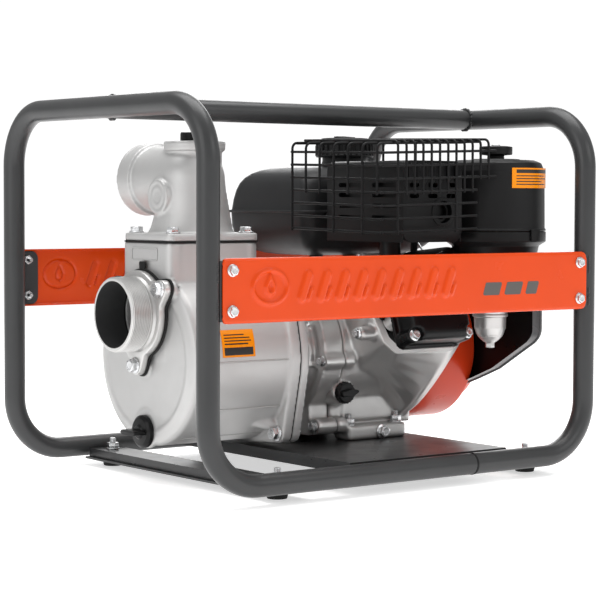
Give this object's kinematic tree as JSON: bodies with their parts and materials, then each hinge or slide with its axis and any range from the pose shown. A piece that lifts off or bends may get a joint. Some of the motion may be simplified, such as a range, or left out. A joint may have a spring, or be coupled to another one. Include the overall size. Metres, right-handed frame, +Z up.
{
  "type": "gas engine trash pump",
  "caption": "Portable trash pump: small petrol engine bolted to a cast centrifugal pump with threaded suction and discharge ports, in a bent-tube carry frame with side panels.",
  "frame": {"origin": "floor level under the middle of the carry frame", "axes": "+X from the suction port to the recoil starter, +Y to the discharge side, +Z up"},
  "size_m": [0.5864, 0.4522, 0.4491],
  "materials": {
    "frame_paint": "satin powder coat",
    "plate_paint": "semi-gloss powder coat",
    "orange_panel": "gloss paint",
    "orange_housing": "gloss paint",
    "zinc_steel": "bright zinc",
    "cast_aluminium": "fine satin casting",
    "engine_aluminium": "satin casting",
    "black_rubber": "matte",
    "black_plastic": "fine grain",
    "black_paint": "satin",
    "tank_paint": "satin",
    "cast_iron": "as cast",
    "machined_steel": "machined",
    "filter_foam": "foam and paper"
  },
  "bodies": {
    "machine": {"air_cleaner_base": "black_plastic", "air_cleaner_cover": "black_plastic", "air_filter_element": "filter_foam", "base_plate": "plate_paint", "carburetor": "engine_aluminium", "carry_bar": "frame_paint", "casing_back_cover": "cast_aluminium", "casing_gasket": "black_rubber", "cover_bolts": "zinc_steel", "crank_bearings": "machined_steel", "crankcase": "engine_aluminium", "crankcase_cover": "engine_aluminium", "cross_channels": "plate_paint", "cylinder_head": "engine_aluminium", "discharge_bolts": "zinc_steel", "discharge_elbow": "cast_aluminium", "discharge_gasket": "black_rubber", "engine_shroud": "black_paint", "fan_housing": "orange_housing", "frame_hoop_engine": "frame_paint", "frame_hoop_pump": "frame_paint", "fuel_tank": "tank_paint", "mount_bolts": "zinc_steel", "muffler": "black_paint", "muffler_guard": "black_paint", "muffler_shield": "black_paint", "panel_fasteners": "zinc_steel", "panel_tabs": "frame_paint", "pump_bolts": "zinc_steel", "pump_casing": "cast_aluminium", "rail_sleeves": "frame_paint", "recoil_cover": "orange_housing", "rubber_feet": "black_rubber", "seal_seat": "machined_steel", "side_panel_far": "orange_panel", "side_panel_near": "orange_panel", "spark_plug": "black_plastic", "suction_gasket": "black_rubber", "suction_port": "cast_aluminium", "valve_cover": "black_paint", "valve_cover_bolts": "zinc_steel", "volute": "cast_iron"},
    "crank": {"crankshaft": "machined_steel", "flywheel": "cast_iron", "impeller": "cast_iron", "seal_rotor": "machined_steel"},
    "starter_handle": {"starter_grip": "black_plastic", "starter_rope": "black_rubber"},
    "rope_reel": {"recoil_reel": "black_plastic"},
    "piston_body": {"piston": "engine_aluminium"},
    "flap": {"suction_flap": "black_rubber"},
    "priming_plug_body": {"priming_plug": "black_plastic"},
    "drain_plug_body": {"drain_plug": "black_plastic"},
    "oil_cap_body": {"oil_cap": "black_plastic"},
    "fuel_cap_body": {"fuel_cap": "black_plastic"},
    "cleaner_nut": {"air_cleaner_knob": "black_plastic"},
    "throttle": {"throttle_lever": "black_plastic"},
    "choke": {"choke_lever": "black_plastic"},
    "fuel_valve": {"fuel_lever": "black_plastic"},
    "ignition_switch": {"engine_switch": "black_plastic"}
  },
  "joints": [
    {"name": "crank_spin", "type": "hinge", "parent": "machine", "child": "crank", "pos_m": [0, 0.028, 0.145], "axis": [1, 0, 0], "continuous": true},
    {"name": "starter_pull", "type": "slide", "parent": "machine", "child": "starter_handle", "axis": [0, 1, 0], "range_m": [0, 0.5]},
    {"name": "rope_reel_turn", "type": "hinge", "parent": "machine", "child": "rope_reel", "pos_m": [0.249, 0.028, 0.145], "axis": [-1, 0, 0], "range_deg": [0, 650]},
    {"name": "piston_stroke", "type": "slide", "parent": "machine", "child": "piston_body", "axis": [0, -0.9511, 0.309], "range_m": [-0.027, 0.027]},
    {"name": "flap_swing", "type": "hinge", "parent": "machine", "child": "flap", "pos_m": [-0.1981, 0.028, 0.246], "axis": [0, -1, 0], "range_deg": [0, 55]},
    {"name": "priming_plug_turn", "type": "hinge", "parent": "machine", "child": "priming_plug_body", "pos_m": [-0.137, 0.028, 0.401], "axis": [0, 0, 1], "range_deg": [0, 1080]},
    {"name": "drain_plug_turn", "type": "hinge", "parent": "machine", "child": "drain_plug_body", "pos_m": [-0.215, 0.028, 0.059], "axis": [-1, 0, 0], "range_deg": [0, 1440]},
    {"name": "oil_cap_turn", "type": "hinge", "parent": "machine", "child": "oil_cap_body", "pos_m": [0.034, -0.045, 0.097], "axis": [0, -1, 0], "range_deg": [0, 1080]},
    {"name": "fuel_cap_turn", "type": "hinge", "parent": "machine", "child": "fuel_cap_body", "pos_m": [0.145, 0.095, 0.39], "axis": [0, 0, 1], "range_deg": [0, 90]},
    {"name": "cleaner_nut_turn", "type": "hinge", "parent": "machine", "child": "cleaner_nut", "pos_m": [0.212, -0.121, 0.388], "axis": [0, 0, 1], "range_deg": [0, 1800]},
    {"name": "throttle_turn", "type": "hinge", "parent": "machine", "child": "throttle", "pos_m": [0.147, -0.04, 0.262], "axis": [0, 1, 0], "range_deg": [0, 45]},
    {"name": "choke_turn", "type": "hinge", "parent": "machine", "child": "choke", "pos_m": [0.175, -0.16, 0.232], "axis": [0, 1, 0], "range_deg": [0, 50]},
    {"name": "fuel_valve_turn", "type": "hinge", "parent": "machine", "child": "fuel_valve", "pos_m": [0.2, -0.16, 0.215], "axis": [0, 1, 0], "range_deg": [0, 90]},
    {"name": "switch_turn", "type": "hinge", "parent": "machine", "child": "ignition_switch", "pos_m": [0.245, -0.122, 0.214], "axis": [1, 0, 0], "range_deg": [0, 60]}
  ],
  "couplings": [
    {"joint": "rope_reel_turn", "follows": "starter_pull", "rad_per_m": 22.222}
  ]
}
